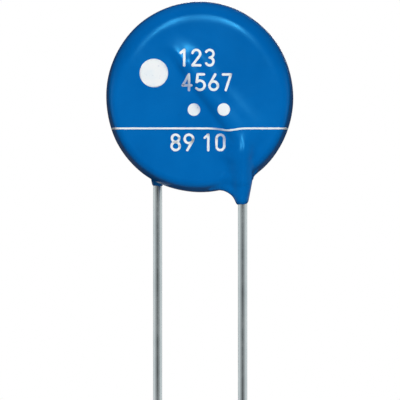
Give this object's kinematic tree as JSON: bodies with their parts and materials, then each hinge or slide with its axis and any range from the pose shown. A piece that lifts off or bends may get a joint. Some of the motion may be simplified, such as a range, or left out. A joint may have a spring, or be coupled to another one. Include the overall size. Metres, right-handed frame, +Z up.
{
  "type": "metal oxide varistor",
  "caption": "Radial leaded disc varistor: a round dipped epoxy body with slanted ridges over the soldered wires, and two straight tinned wires for a circuit board.",
  "frame": {"origin": "midway between the tips of the two wires, at the bottom centre of the bounding box", "axes": "+Z up from the wire tips through the disc, -Y out of the marked face, +X to the right as the marked face is read"},
  "size_m": [0.0166, 0.0074, 0.0427],
  "materials": {
    "zinc_oxide": "matt, as fired",
    "fired_silver": "matt",
    "solder": "satin",
    "tinned_wire": "satin, with faint drawing lines",
    "blue_epoxy": "glossy dipped coating",
    "white_ink": "matt printed ink"
  },
  "bodies": {
    "root": {"ceramic_disc": "zinc_oxide", "front_electrode": "fired_silver", "rear_electrode": "fired_silver", "front_solder": "solder", "rear_solder": "solder", "front_lead": "tinned_wire", "rear_lead": "tinned_wire", "epoxy_coating": "blue_epoxy", "marking": "white_ink"}
  },
  "joints": []
}
